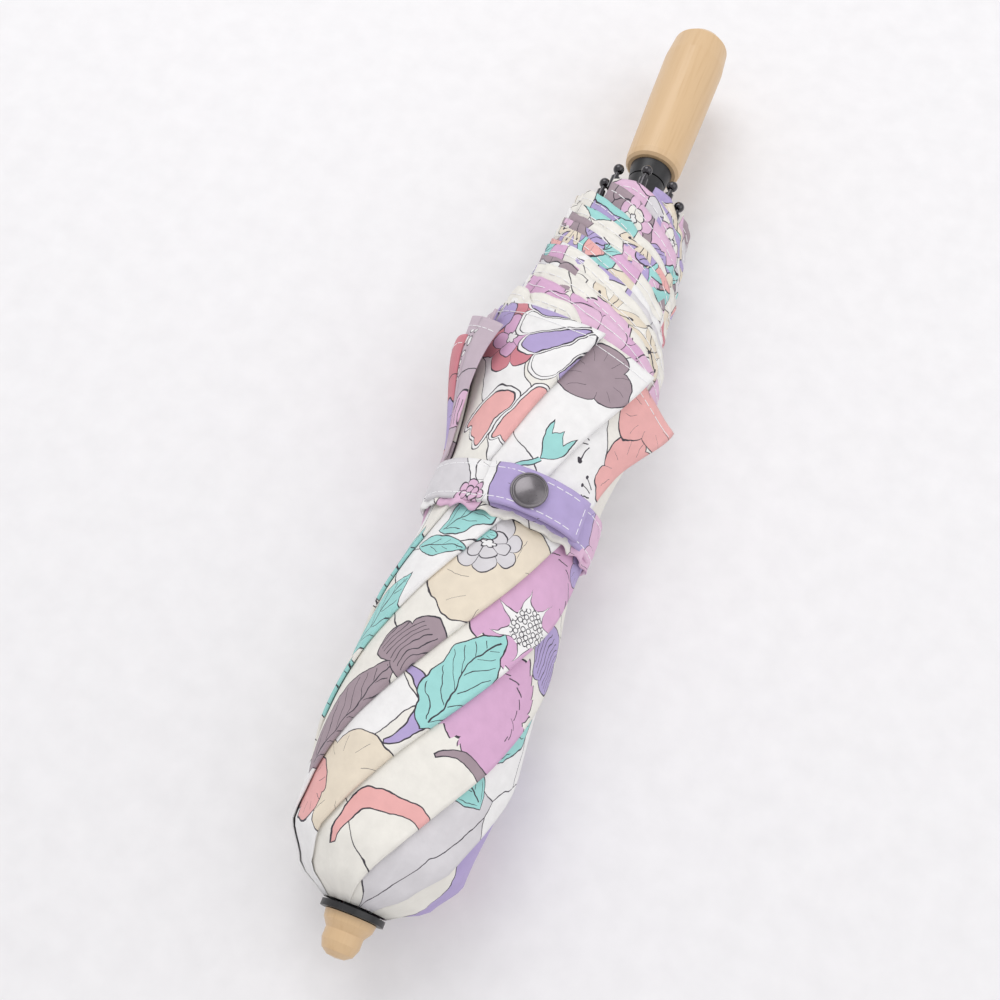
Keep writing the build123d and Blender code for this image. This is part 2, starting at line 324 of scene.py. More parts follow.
@dataclass(frozen=True)
class Motif:
    """One drawing in the print, placed in degrees round the roll and in stations."""

    kind: Kind
    azimuth: float
    station: float
    size: float
    turn: float = 0.0
    ink: Ink = Ink.CREAM
    second: Ink = Ink.WHITE

    def draw(self, canvas: Canvas) -> None:
        """Draws the motif on a canvas."""
        getattr(self, self.kind.value)(canvas, *canvas.local(self))

    def outlined(
        self, canvas: Canvas, radius: Field, rim: Field, ink: Ink, inner: Field | None = None
    ) -> None:
        """Lays a filled shape, given the distance to its rim along each ray."""
        gap = rim - radius
        line = abs(gap) < 0.22
        fill = gap > -0.22
        canvas.lay(fill, ink, line if inner is None else line | (inner * (gap > 0.0)))

    def peony(self, canvas: Canvas, x: Field, y: Field, r: Field, a: Field) -> None:
        """Two rings of scalloped petals round a small open centre."""
        wave = abs((a * 3.5).calc("COSINE")).calc("POWER", 0.6)
        veins = ((a * 3.5).calc("COSINE") * r).calc("ABSOLUTE") < 0.28
        self.outlined(canvas, r, wave * (0.3 * self.size) + 0.7 * self.size, self.ink, veins)
        inner = abs((a * 2.5 + 1.0).calc("COSINE")).calc("POWER", 0.6)
        split = ((a * 2.5 + 1.0).calc("COSINE") * r).calc("ABSOLUTE") < 0.24
        self.outlined(canvas, r, inner * (0.2 * self.size) + 0.38 * self.size, self.second, split)
        core = abs((a * 2.5).calc("COSINE"))
        self.outlined(canvas, r, core * (0.07 * self.size) + 0.1 * self.size, Ink.WHITE)

    def lily(self, canvas: Canvas, x: Field, y: Field, r: Field, a: Field) -> None:
        """Six pointed petals with middle veins and dotted stamens."""
        away_from_tip = abs((a * 3.0).calc("SINE"))
        rim = away_from_tip.calc("POWER", 0.6) * (-0.16 * self.size) + self.size
        rim = rim - away_from_tip.calc("POWER", 4.0) * (0.5 * self.size)
        self.outlined(canvas, r, rim, self.ink)
        away = r - 0.6 * self.size
        across = (a * 3.0).calc("SINE") * r * 0.33
        stalk = (abs(across) < 0.16) * (r < 0.6 * self.size)
        dot = (away * away + across * across) < (0.03 * self.size + 0.25) ** 2
        canvas.line = canvas.line | stalk | dot

    def leaf(self, canvas: Canvas, x: Field, y: Field, r: Field, a: Field) -> None:
        """A pointed leaf with a midrib and slanting veins."""
        along = (x / self.size).calc("MINIMUM", 3.0)
        bow = (along * along).calc("MULTIPLY_ADD", -1.0, 1.0)
        half = bow * along.calc("MULTIPLY_ADD", -0.25, 1.0)
        gap = half * (0.42 * self.size) - abs(y)
        rib = (abs(y + (along * along - 0.4) * 0.8) < 0.2) * (abs(along) < 0.85)
        slant = ((x - abs(y) * 1.5) / 5.5).calc("FRACT")
        vein = (slant < 0.07) * (gap > 1.1) * (abs(y) > 0.5)
        canvas.lay(gap > -0.2, self.ink, (abs(gap) < 0.2) | ((rib | vein) * (gap > 0.0)))

    def tulip(self, canvas: Canvas, x: Field, y: Field, r: Field, a: Field) -> None:
        """A cupped bud with a toothed mouth on a curved stalk."""
        bend = y - x * x * 0.03
        stalk = abs(bend).calc("MULTIPLY_ADD", -1.0, 0.9)
        behind = (x < 0.0) * (x > -1.9 * self.size)
        canvas.lay((stalk > -0.2) * behind, self.ink, (abs(stalk) < 0.2) * behind)
        along = x / self.size
        half = (along * 1.5).calc("SINE") * (0.46 * self.size)
        teeth = abs(y).calc("PINGPONG", 0.23 * self.size) * -1.3 + 1.2 * self.size
        gap = (half - abs(y)).calc("MINIMUM", teeth - x)
        inside = x > 0.0
        canvas.lay((gap > -0.2) * inside, self.ink, (abs(gap) < 0.2) * inside)

    def bell(self, canvas: Canvas, x: Field, y: Field, r: Field, a: Field) -> None:
        """A long bell with a wavy mouth and a pale stripe on each side."""
        side = x.calc("MULTIPLY_ADD", 0.1, 0.46 * self.size) - abs(y)
        wave = abs((y * (6.5 / self.size)).calc("COSINE")).calc("MULTIPLY", 0.14 * self.size)
        mouth = wave + self.size - x
        gap = side.calc("SMOOTH_MIN", mouth, 2.5).calc("SMOOTH_MIN", x + self.size, 5.0)
        canvas.lay(gap > -1.3, Ink.WHITE, abs(gap + 1.2) < 0.2)
        canvas.lay(gap > 0.0, self.ink, abs(gap) < 0.2)

    def ruffled(self, canvas: Canvas, x: Field, y: Field, r: Field, a: Field) -> None:
        """A broad flower with a jagged outer edge and an inner ruffle."""
        lobe = abs((a * 1.5).calc("COSINE")).calc("POWER", 0.7) * (0.24 * self.size)
        tooth = (a * 3.6).calc("FRACT") * (0.07 * self.size)
        rim = lobe + tooth + 0.7 * self.size
        inner = lobe * 0.8 + (a * -2.9).calc("FRACT") * (0.06 * self.size) + 0.36 * self.size
        ruffle = (abs(r - inner) < 0.2) * (a > -1.9) * (a < 1.3)
        self.outlined(canvas, r, rim, self.ink, ruffle)

    def arc(self, canvas: Canvas, x: Field, y: Field, r: Field, a: Field) -> None:
        """A curved ribbon that tapers to both ends."""
        half = (a * 0.9).calc("COSINE") * (0.1 * self.size + 1.1)
        gap = (half - abs(r - self.size)).calc("MINIMUM", (abs(a) - 1.5) * -self.size)
        canvas.lay(gap > -0.2, self.ink, abs(gap) < 0.2)

    def shell(self, canvas: Canvas, x: Field, y: Field, r: Field, a: Field) -> None:
        """A fan of rounded petals with pale rims, filled in turn with two colours."""
        ridge = abs((a * 7.0).calc("COSINE")).calc("POWER", 0.5)
        rim = ridge * (0.2 * self.size) + 0.8 * self.size
        self.outlined(canvas, r, rim, self.ink)
        inset = (abs((a * 7.0).calc("COSINE")) * r * 0.16 - 0.35).calc("MINIMUM", rim - r - 1.5)
        inset = inset.calc("MINIMUM", r - 0.12 * self.size)
        every_other = (a * 7.0).calc("COSINE") > 0.0
        canvas.lay((inset > 0.0) * every_other, self.second, (abs(inset) < 0.2) * every_other)
        canvas.line = canvas.line | (abs(inset) < 0.16) * every_other.inverse()

    def seeds(self, canvas: Canvas, x: Field, y: Field, r: Field, a: Field) -> None:
        """A seed head of small rings with a few pointed sepals."""
        point = abs((a * 3.5).calc("SINE")).calc("POWER", 0.5)
        self.outlined(canvas, r, point * (-0.95 * self.size) + 1.9 * self.size, self.second)
        dots = add_node(canvas.tree, "ShaderNodeTexVoronoi", voronoi_dimensions="2D")
        dots.inputs["Scale"].default_value = 1.0
        dots.inputs["Randomness"].default_value = 0.35
        scaled = canvas.vector("SCALE", canvas.flat, scale=1 / 1.9)
        canvas.tree.links.new(scaled, dots.inputs["Vector"])
        near = Field(canvas.tree, dots.outputs["Distance"])
        canvas.lay(r < self.size, Ink.WHITE, (abs(near - 0.4) < 0.075) * (r < self.size))

    def lobes(self, canvas: Canvas, x: Field, y: Field, r: Field, a: Field) -> None:
        """A broad petal with a few round lobes."""
        wave = abs((a * 1.5).calc("COSINE")).calc("POWER", 0.7)
        ray = abs((a * 5.0).calc("SINE")) * r < 0.3
        vein = ray * (r > 0.45 * self.size) * (r < 0.8 * self.size)
        self.outlined(canvas, r, wave * (0.32 * self.size) + 0.68 * self.size, self.ink, vein)

    def hatched(self, canvas: Canvas, x: Field, y: Field, r: Field, a: Field) -> None:
        """A petal shaded with long strokes."""
        wave = abs((a * 1.5).calc("COSINE")).calc("POWER", 0.7)
        stroke = ((y + x * x * 0.03) / 1.9).calc("FRACT") < 0.16
        faded = stroke * (abs(x) < 0.62 * self.size)
        self.outlined(canvas, r, wave * (0.35 * self.size) + 0.65 * self.size, self.ink, faded)

    def stamens(self, canvas: Canvas, x: Field, y: Field, r: Field, a: Field) -> None:
        """A fan of thin stalks with round heads."""
        fan = abs(a) < 0.9
        across = (a * 5.0).calc("SINE") * r * 0.2
        away = r - self.size
        stalk = (abs(across) < 0.2) * (r < self.size) * (r > 0.3 * self.size) * fan
        head = ((away * away + across * across) < 0.55) * fan
        canvas.line = canvas.line | stalk | head

    def dots(self, canvas: Canvas, x: Field, y: Field, r: Field, a: Field) -> None:
        """A row of small white outlined ovals."""
        step = (x / 3.2).calc("FRACT").calc("SUBTRACT", 0.5) * 3.2
        side = abs(y) - 1.1
        near = (step * step + side * side * 1.8).calc("SQRT")
        row = abs(x) < self.size
        canvas.lay((near < 1.15) * row, Ink.WHITE, (abs(near - 1.15) < 0.16) * row)


# -------------------------------------------------------------------- finishes


def new_material(name: str) -> tuple[bpy.types.Material, bpy.types.Node]:
    """Makes a node material and returns it with its main shader."""
    material = bpy.data.materials.new(name)
    material.use_nodes = True
    return material, material.node_tree.nodes["Principled BSDF"]


def add_bump(
    tree: bpy.types.NodeTree, shader: bpy.types.Node, height: object, depth: float
) -> None:
    """Links a height to the shader's normal; depth is in metres."""
    bump = add_node(tree, "ShaderNodeBump")
    bump.inputs["Strength"].default_value = 1.0
    bump.inputs["Distance"].default_value = depth
    tree.links.new(height, bump.inputs["Height"])
    tree.links.new(bump.outputs[0], shader.inputs["Normal"])


@dataclass(frozen=True)
class PrintedCloth:
    """Plain-woven cotton blend with a drawn flower print.

    To the eye it is matt and soft, with flat inks, thin dark outlines and faint
    creases. The weave's pitch of 0.32 mm is drawn coarser than the 0.2 mm assumed
    for the real cloth, so that it stays visible.
    """

    name: str
    ground: tuple[Ink, ...]
    motifs: tuple[Motif, ...]
    cell: float = 34.0
    repeat: tuple[float, float] = (118.0, 172.0)
    thread: float = 0.32
    roughness: float = 0.82

    def material(self) -> bpy.types.Material:
        """Builds the print, the weave and the soft sheen."""
        made, shader = new_material(self.name)
        tree = made.node_tree
        canvas = Canvas(tree, self.repeat)
        canvas.cells(self.cell, self.ground)
        for motif in self.motifs:
            motif.draw(canvas)
        picture = canvas.finish()
        wash = add_node(tree, "ShaderNodeTexNoise", noise_dimensions="2D")
        wash.inputs["Scale"].default_value = 0.22
        wash.inputs["Detail"].default_value = 4.0
        tree.links.new(canvas.flat, wash.inputs["Vector"])
        tone = Field(tree, wash.outputs["Fac"]) * 0.16 + 0.9
        tinted = canvas.vector("MULTIPLY", picture, None)
        tree.links.new(tone.socket, tinted.node.inputs[1])
        tree.links.new(tinted, shader.inputs["Base Color"])
        shader.inputs["Roughness"].default_value = self.roughness
        shader.inputs["Sheen Weight"].default_value = 0.12
        split = add_node(tree, "ShaderNodeSeparateXYZ")
        tree.links.new(canvas.flat, split.inputs[0])
        pace = 2 * math.pi / self.thread
        warp = (Field(tree, split.outputs[0]) * pace).calc("SINE")
        weft = (Field(tree, split.outputs[1]) * pace).calc("SINE")
        add_bump(tree, shader, (warp * weft + tone * 70.0).socket, 0.02 * MM)
        return made


@dataclass(frozen=True)
class Speckled:
    """A hard finish with fine variation in its colour and its gloss."""

    name: str
    dark: str
    light: str
    metallic: float
    roughness: float
    grain: float
    stretch: tuple[float, float, float] = (1.0, 1.0, 1.0)
    coat: float = 0.0
    bump: float = 0.004
    rings: float = 0.0

    def material(self) -> bpy.types.Material:
        """Builds the finish from noise in object space, in millimetres."""
        made, shader = new_material(self.name)
        tree = made.node_tree
        place = add_node(tree, "ShaderNodeTexCoord")
        scaled = add_node(tree, "ShaderNodeVectorMath", operation="MULTIPLY")
        scaled.inputs[1].default_value = [1000.0 * v / self.grain for v in self.stretch]
        tree.links.new(place.outputs["Object"], scaled.inputs[0])
        speck = add_node(tree, "ShaderNodeTexNoise")
        speck.inputs["Scale"].default_value = 1.0
        speck.inputs["Detail"].default_value = 5.0
        tree.links.new(scaled.outputs[0], speck.inputs["Vector"])
        tone = Field(tree, speck.outputs["Fac"])
        if self.rings:
            tone = (tone * self.rings).calc("SINE") * 0.3 + tone
        ramp = add_node(tree, "ShaderNodeValToRGB")
        stops = zip(ramp.color_ramp.elements, (self.dark, self.light), (0.3, 0.72))
        for stop, hex_colour, at in stops:
            stop.position = at
            stop.color = linear(hex_colour)
        tree.links.new(tone.socket, ramp.inputs[0])
        tree.links.new(ramp.outputs[0], shader.inputs["Base Color"])
        tree.links.new((tone * 0.14 + (self.roughness - 0.07)).socket, shader.inputs["Roughness"])
        shader.inputs["Metallic"].default_value = self.metallic
        shader.inputs["Coat Weight"].default_value = self.coat
        add_bump(tree, shader, tone.socket, self.bump * MM)
        return made


# Grain is in millimetres. On the metals and plastics it is drawn coarser than the
# real surface, whose grain is far below 1 mm, so that the gloss varies visibly.
# Gunmetal-plated brass, pressed and tumbled: a dark grey cap with a soft highlight.
GUNMETAL = Speckled("gunmetal", "686467", "706C6F", 1.0, 0.3, 1.0, coat=0.5, bump=0.001)
# Steel strip with baked black paint: near black ribs and tubes with dull glints.
BLACK_METAL = Speckled("black_metal", "1B1B1D", "2B2B2E", 0.6, 0.35, 2.0)
# Injection-moulded black nylon: an even, satin black with no metal glint.
BLACK_PLASTIC = Speckled("black_plastic", "19191B", "232325", 0.0, 0.38, 1.2)
# Black-nickel plated steel, polished: small dark balls with one sharp highlight.
TIP_NICKEL = Speckled("black_nickel", "3A383B", "4B494C", 1.0, 0.2, 1.0, coat=0.6, bump=0.001)
# Drawn spring steel wire, bare: a bright grey line where it shows.
STEEL = Speckled("steel", "A5A6A8", "C2C3C5", 1.0, 0.3, 1.2)
# Light wood, turned and varnished: warm, with grain along the handle, assumed
# 1.6 mm apart, and a thin gloss.
WOOD = Speckled("wood", "BB9362", "D9B98F", 0.0, 0.42, 1.6, (1.0, 0.05, 1.0), 0.25, 0.012, 5.0)
# Spun polyester sewing thread: small white dashes, matt, its twist assumed 0.5 mm.
THREAD = Speckled("thread", "EDECEE", "FFFFFF", 0.0, 0.75, 0.5, bump=0.03)
# Matt white board: a pale field with faint mottling, coarser than a real one's.
TABLE = Speckled("table", "EAE9EA", "EFEEEF", 0.0, 0.7, 9.0)
NODE_FINISHES = {
    "gunmetal": GUNMETAL,
    "black_nickel": TIP_NICKEL,
    "black_metal": BLACK_METAL,
    "black_plastic": BLACK_PLASTIC,
    "steel": STEEL,
    "wood": WOOD,
}

K = Kind
PRINTS = {
    "coral_bell": PrintedCloth("cloth_coral_bell", (Ink.CREAM, Ink.WHITE, Ink.CREAM), (
        Motif(K.LOBES, 12, 110, 21, 75, Ink.BEIGE),
        Motif(K.PEONY, -2, 121, 10, 20, Ink.GREY, Ink.GREY),
        Motif(K.LOBES, -8, 124, 3.2, 10, Ink.AQUA),
        Motif(K.LEAF, -46, 60, 21, 64, Ink.TAUPE),
        Motif(K.HATCHED, -22, 84, 11, 60, Ink.TAUPE),
        Motif(K.LOBES, 76, 164, 14, 10, Ink.CORAL),
        Motif(K.LOBES, 72, 186, 15, 100, Ink.CORAL),
        Motif(K.STAMENS, 42, 165, 7.5, 205),
        Motif(K.STAMENS, 58, 152, 6.5, 185),
    ), cell=40.0),
    "tulip": PrintedCloth("cloth_tulip", (Ink.CREAM, Ink.WHITE, Ink.WHITE), (
        Motif(K.LEAF, -20, 129, 13, 30, Ink.AQUA),
        Motif(K.LEAF, -34, 117, 10, 5, Ink.AQUA),
        Motif(K.LEAF, -58, 92, 16, 70, Ink.AQUA),
        Motif(K.LOBES, 20, 186, 12, 90, Ink.TAUPE),
        Motif(K.TULIP, 6, 152, 11, 66, Ink.AQUA),
        Motif(K.LEAF, -72, 64, 13, 75, Ink.AQUA),
    ), cell=42.0),
    "peony": PrintedCloth("cloth_peony", (Ink.CREAM, Ink.WHITE, Ink.CREAM, Ink.BEIGE), (
        Motif(K.LEAF, -66, 108, 15, 75, Ink.AQUA),
        Motif(K.BELL, -40, 164, 9.5, 235, Ink.CORAL),
        Motif(K.BELL, -13, 165, 9.5, 250, Ink.CORAL),
        Motif(K.PEONY, -40, 192, 14, 0, Ink.RED, Ink.ORCHID),
        Motif(K.SHELL, 12, 200, 25, 10, Ink.WHITE, Ink.LAVENDER),
        Motif(K.LOBES, -68, 200, 9, 0, Ink.LAVENDER),
    )),
    "orchid": PrintedCloth("cloth_orchid", (Ink.CREAM, Ink.WHITE, Ink.WHITE, Ink.CREAM), (
        Motif(K.LOBES, -34, 43, 16, 60, Ink.BEIGE),
        Motif(K.LOBES, -62, 38, 9, 60, Ink.CORAL),
        Motif(K.RUFFLED, 42, 112, 28, 60, Ink.ORCHID),
        Motif(K.ARC, -22, 67, 11, 15, Ink.LAVENDER),
        Motif(K.LEAF, 14, 80, 19, 72, Ink.AQUA),
        Motif(K.LOBES, 78, 131, 8, 20, Ink.LAVENDER),
        Motif(K.SEEDS, 40, 102, 6.0, 0, Ink.WHITE, Ink.WHITE),
        Motif(K.RUFFLED, -44, 206, 17, 200, Ink.ORCHID),
        Motif(K.PEONY, 8, 197, 22, 0, Ink.ORCHID, Ink.ROSE),
        Motif(K.RUFFLED, 72, 196, 17, 90, Ink.ROSE),
    ), cell=38.0, repeat=(118.0, 230.0)),
    "lilies": PrintedCloth("cloth_lilies", (Ink.CREAM, Ink.CREAM, Ink.WHITE), (
        Motif(K.RUFFLED, 36, 76, 18, 60, Ink.ORCHID),
        Motif(K.HATCHED, 70, 98, 10, 70, Ink.LAVENDER),
        Motif(K.ARC, 28, 50, 10, 45, Ink.TAUPE),
        Motif(K.ARC, 4, 27, 15, 95, Ink.CORAL),
        Motif(K.LILY, 14, 210, 12.5, 10, Ink.BEIGE),
        Motif(K.LILY, 48, 203, 13, 40, Ink.BEIGE),
        Motif(K.LILY, -28, 214, 10, 25, Ink.CREAM),
        Motif(K.PEONY, 130, 130, 16, 0, Ink.LAVENDER, Ink.WHITE),
    ), cell=40.0, repeat=(118.0, 230.0)),
    "aqua_leaf": PrintedCloth("cloth_aqua_leaf", (Ink.GREY, Ink.CREAM, Ink.WHITE, Ink.GREY), (
        Motif(K.LEAF, 24, 230, 17, 150, Ink.AQUA),
        Motif(K.LEAF, -26, 232, 13, 160, Ink.AQUA),
        Motif(K.LOBES, -56, 222, 9, 0, Ink.ORCHID),
        Motif(K.PEONY, 112, 110, 15, 0, Ink.ORCHID, Ink.WHITE),
        Motif(K.LEAF, 64, 78, 17, 70, Ink.AQUA),
        Motif(K.LOBES, 170, 150, 13, 0, Ink.CORAL),
    )),
    "mauve": PrintedCloth("cloth_mauve", (
        Ink.MAUVE, Ink.CREAM, Ink.ROSE, Ink.LAVENDER, Ink.CREAM,
    ), (
        Motif(K.DOTS, 266, 192, 7, 80),
        Motif(K.PEONY, 200, 120, 14, 0, Ink.CORAL, Ink.WHITE),
        Motif(K.LEAF, 240, 80, 14, 60, Ink.AQUA),
        Motif(K.LOBES, 20, 250, 12, 0, Ink.ORCHID),
    ), cell=26.0),
    "red_petal": PrintedCloth("cloth_red_petal", (Ink.RED, Ink.CREAM, Ink.LAVENDER, Ink.CREAM), (
        Motif(K.HATCHED, 262, 184, 11, 0, Ink.RED),
        Motif(K.LILY, 200, 100, 12, 0, Ink.BEIGE),
        Motif(K.LEAF, 225, 140, 13, 60, Ink.AQUA),
        Motif(K.LOBES, 0, 236, 10, 0, Ink.LAVENDER),
    ), cell=28.0),
    "tip_a": PrintedCloth("cloth_tip_a", (
        Ink.CREAM, Ink.LAVENDER, Ink.WHITE, Ink.AQUA, Ink.BEIGE, Ink.CREAM,
    ), (
        Motif(K.LEAF, -140, 250, 11, 150, Ink.AQUA),
        Motif(K.LILY, -200, 240, 9, 0, Ink.BEIGE),
        Motif(K.LOBES, -60, 235, 7, 0, Ink.CORAL),
    ), cell=15.0, repeat=(52.0, 60.0)),
    "tip_b": PrintedCloth("cloth_tip_b", (
        Ink.ORCHID, Ink.CREAM, Ink.TAUPE, Ink.WHITE, Ink.CREAM, Ink.ROSE, Ink.GREY,
    ), (
        Motif(K.LEAF, -100, 236, 10, 20, Ink.AQUA),
        Motif(K.PEONY, -150, 248, 8, 0, Ink.ROSE, Ink.CREAM),
        Motif(K.HATCHED, -220, 238, 6, 30, Ink.LAVENDER),
    ), cell=16.0, repeat=(48.0, 64.0)),
    "strap": PrintedCloth("cloth_strap", (Ink.GREY, Ink.WHITE, Ink.GREY), (
        Motif(K.LOBES, -10, 139, 11, 0, Ink.WHITE),
        Motif(K.PEONY, -26, 134, 5.0, 0, Ink.ROSE, Ink.ROSE),
        Motif(K.LOBES, 40, 139, 25, 180, Ink.LAVENDER),
        Motif(K.LOBES, 96, 136, 19, 0, Ink.ROSE),
    ), cell=30.0, repeat=(190.0, 172.0)),
    "frill": PrintedCloth("cloth_frill", (Ink.CREAM, Ink.WHITE, Ink.CREAM), (
        Motif(K.LOBES, -34, 132, 9, 0, Ink.ROSE),
        Motif(K.LOBES, 66, 131, 9, 0, Ink.ROSE),
    ), cell=22.0),
    "tab_mauve": PrintedCloth("cloth_tab_mauve", (Ink.MAUVE, Ink.MAUVE), (
        Motif(K.DOTS, -5, 182, 8, 84),
        Motif(K.HATCHED, 8, 163, 6, 80, Ink.ROSE),
    ), cell=60.0),
    "tab_red": PrintedCloth("cloth_tab_red", (Ink.RED, Ink.RED), (
        Motif(K.LOBES, 0, 160, 9, 80, Ink.LAVENDER),
    ), cell=60.0),
}


# ------------------------------------------------------------------- geometry


@dataclass
class Roll:
    """The outline of the furled bundle, with its creases."""

    widths: tuple[tuple[float, float], ...] = (
        (13.8, 9.2), (20, 19.5), (30, 26.5), (60, 30), (100, 28.8), (126, 26.2),
        (152, 26.4), (188, 32), (205, 32.5), (225, 30), (266, 27.5),
    )
    heights: tuple[tuple[float, float], ...] = (
        (13.8, 9.0), (20, 17.6), (30, 22.2), (60, 23.7), (100, 23.6), (126, 21.9),
        (152, 22), (188, 24), (205, 25.4), (225, 25.6), (266, 25.6),
    )

    def half(self, table: Sequence[tuple[float, float]], station: float) -> float:
        """Reads a half size at a station, eased between the given ones."""
        for (s0, v0), (s1, v1) in zip(table, table[1:]):
            if station <= s1:
                share = (station - s0) / (s1 - s0)
                return mix(v0, v1, ease(share) * 0.5 + 0.5 * min(max(share, 0), 1))
        return table[-1][1]

    def crease(self, azimuth: float, station: float) -> float:
        """Height of the cloth's creases at a place, in millimetres."""
        a = math.radians(azimuth)
        loose = 0.45 + 1.5 * ease((station - 176) / 40)
        tight = 1 - 0.75 * ease(1 - abs(station - 139) / 16)
        broad = noise.noise(Vector((math.cos(a) * 1.6, math.sin(a) * 1.6, station / 30)))
        fine = noise.noise(Vector((math.cos(a) * 5 + 7, math.sin(a) * 5, station / 11)))
        gathers = max(0.0, 1 - station / 34) * math.cos(math.radians(azimuth) * 16) * 0.7
        return (broad * 0.9 + fine * 0.35) * loose * tight + gathers

    def point(self, azimuth: float, station: float, lift: float) -> Vector:
        """A point on the roll.

        Args:
            azimuth: Degrees round the roll, 0 at the top and 90 at +X.
            station: Millimetres from the top of the umbrella.
            lift: Height over the outline, in millimetres.

        Returns:
            The place in metres.
        """
        a = math.radians(azimuth)
        w, h = self.half(self.widths, station), self.half(self.heights, station)
        lift = lift * min(1.0, w / 26) + self.crease(azimuth, station) * min(1.0, w / 20)
        out = Vector((math.sin(a) / w, math.cos(a) / h)).normalized()
        x, z = w * math.sin(a) + out.x * lift, h * math.cos(a) + out.y * lift + AXIS_HEIGHT
        if z < 10:
            z = 0.05 + 0.6 * math.log1p(math.exp((z - 0.05) / 0.6))
        return Vector((x, station - TOTAL_LENGTH / 2, z)) * MM


def patch(bm: bmesh.types.BMesh, across: int, along: int, surface: Surface) -> list[float]:
    """Adds one flat grid, bends it onto a surface and gives it its cut's own UVs.

    Args:
        bm: The mesh, which has the UV layer named Cut.
        across: Divisions of the grid in its first direction.
        along: Divisions in its second direction.
        surface: Gives the place in metres and the cut's (u, v) in millimetres.

    Returns:
        The flat size of the patch: its area, width and length, in metres.
    """
    layer = bm.loops.layers.uv["Cut"]
    new = bmesh.ops.create_grid(bm, x_segments=across, y_segments=along, size=0.5)["verts"]
    cut = {}
    for vert in new:
        a, b = vert.co.x + 0.5, vert.co.y + 0.5
        vert.co, cut[vert] = surface(a, b)
    area = 0.0
    for face in {f for v in new for f in v.link_faces}:
        places = [cut[loop.vert] for loop in face.loops]
        for loop, (u, v) in zip(face.loops, places):
            loop[layer].uv = (u * MM, v * MM)
        sides = zip(places, places[1:] + places[:1])
        area += abs(sum(p[0] * q[1] - q[0] * p[1] for p, q in sides)) / 2
        face.smooth = True
    us, vs = [c[0] for c in cut.values()], [c[1] for c in cut.values()]
    return [area * MM * MM, (max(us) - min(us)) * MM, (max(vs) - min(vs)) * MM]


def new_cloth_mesh() -> bmesh.types.BMesh:
    """An empty mesh with the UV layer of the cut."""
    bm = bmesh.new()
    bm.loops.layers.uv.new("Cut")
    return bm


def piece(
    name: str, bm: bmesh.types.BMesh, material: bpy.types.Material, body: str
) -> bpy.types.Object:
    """Makes an object of a mesh and lets it ride on a body.

    Args:
        name: The piece's name.
        bm: Its mesh, which is freed.
        material: Its finish.
        body: The body that carries it.

    Returns:
        The object.
    """
    mesh = bpy.data.meshes.new(name)
    bm.to_mesh(mesh)
    bm.free()
    mesh.materials.append(material)
    made = bpy.data.objects.new(name, mesh)
    bpy.context.scene.collection.objects.link(made)
    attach(made, body)
    LOG.info("%s: %d faces", name, len(mesh.polygons))
    return made


def thicken(made: bpy.types.Object, thickness: float) -> None:
    """Gives a sheet its thickness.

    Args:
        made: The sheet's object.
        thickness: In millimetres.
    """
    solid = made.modifiers.new("thickness", "SOLIDIFY")
    solid.thickness = thickness * MM
    solid.offset = 0.0


def gather(made: bpy.types.Object) -> None:
    """Gives a piece its own copy of its mesh."""
    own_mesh(made)


